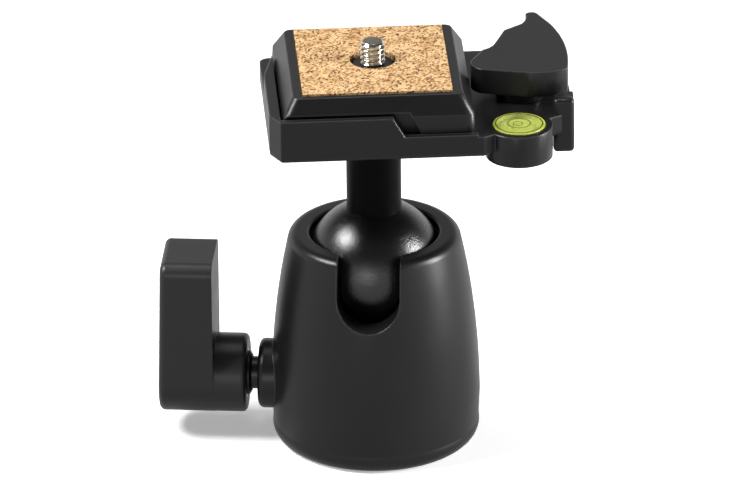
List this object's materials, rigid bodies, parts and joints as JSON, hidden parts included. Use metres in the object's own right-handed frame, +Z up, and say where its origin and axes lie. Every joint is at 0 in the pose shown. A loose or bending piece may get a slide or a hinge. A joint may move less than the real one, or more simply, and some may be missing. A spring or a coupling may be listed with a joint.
{
  "type": "tripod ball head",
  "caption": "Ball head for a camera: notched bell housing, ball on a round stem, side lock lever, and a quick release clamp with plate, fin lever and round level.",
  "frame": {"origin": "centre of the base's bottom face, on the axis of the housing and of the tripod thread", "axes": "+Z up the axis of the housing; -Y is the side of the notch; the lock lever stands on the -X side"},
  "size_m": [0.1066, 0.0643, 0.1092],
  "materials": {
    "housing_paint": "satin black powder coat",
    "nylon": "black nylon",
    "steel": "zinc plated",
    "dark_steel": "blackened steel",
    "brass": "turned brass",
    "lever_plastic": "satin black moulded",
    "ball_black": "glossy black anodised",
    "spring_steel": "spring wire",
    "level_rim": "moulded",
    "level_green": "lime liquid",
    "level_clear": "clear",
    "cork": "pressed cork and rubber granulate",
    "nickel": "nickel plated"
  },
  "bodies": {
    "housing": {"housing": "housing_paint", "upper_ball_seat": "nylon", "base_plate": "housing_paint", "base_screws": "steel", "pressure_cup": "steel"},
    "ball_cup": {"lower_ball_cup": "nylon"},
    "ball": {"ball": "ball_black", "stem": "ball_black"},
    "clamp": {"clamp_base": "housing_paint", "clamp_screw": "steel", "clamp_washer": "steel", "lever_pivot": "steel", "lever_spring": "spring_steel", "level_cup": "level_rim", "level_liquid": "level_green", "level_window": "level_clear"},
    "clamp_lever": {"qr_lever": "housing_paint"},
    "plate": {"plate": "housing_paint", "cork_pad": "cork"},
    "camera_screw": {"camera_screw": "nickel", "screw_clip": "dark_steel"},
    "wedge": {"wedge_block": "steel"},
    "lock_lever": {"lock_screw": "dark_steel", "lock_collar": "dark_steel", "lever_insert": "brass", "lock_lever": "lever_plastic"}
  },
  "joints": [
    {"name": "ball_pan", "type": "hinge", "parent": "housing", "child": "ball_cup", "pos_m": [0, 0, 0.0466], "axis": [0, 0, 1], "range_deg": [-360, 360]},
    {"name": "ball_tilt", "type": "hinge", "parent": "ball_cup", "child": "ball", "pos_m": [0, 0, 0.0466], "axis": [1, 0, 0], "range_deg": [-35, 90]},
    {"name": "clamp_turn", "type": "hinge", "parent": "ball", "child": "clamp", "pos_m": [0, 0, 0.088], "axis": [0, 0, 1], "continuous": true},
    {"name": "qr_lever_open", "type": "hinge", "parent": "clamp", "child": "clamp_lever", "pos_m": [0.03727, 0.00423, 0.094], "axis": [0, 0, -1], "range_deg": [0, 60], "stiffness_Nm_per_rad": 0.02},
    {"name": "plate_release", "type": "slide", "parent": "clamp", "child": "plate", "axis": [0, 0, 1], "range_m": [0, 0.025]},
    {"name": "camera_screw_turn", "type": "hinge", "parent": "plate", "child": "camera_screw", "pos_m": [0, 0, 0.1], "axis": [0, 0, 1], "continuous": true},
    {"name": "lock_screw_travel", "type": "slide", "parent": "housing", "child": "wedge", "axis": [-1, 0, 0], "range_m": [0, 0.000625]},
    {"name": "lock_lever_turn", "type": "hinge", "parent": "wedge", "child": "lock_lever", "pos_m": [-0.03, 0, 0.0153], "axis": [-1, 0, 0], "range_deg": [0, 181]}
  ],
  "couplings": [
    {"joint": "lock_lever_turn", "follows": "lock_screw_travel", "rad_per_m": 5026.5}
  ]
}
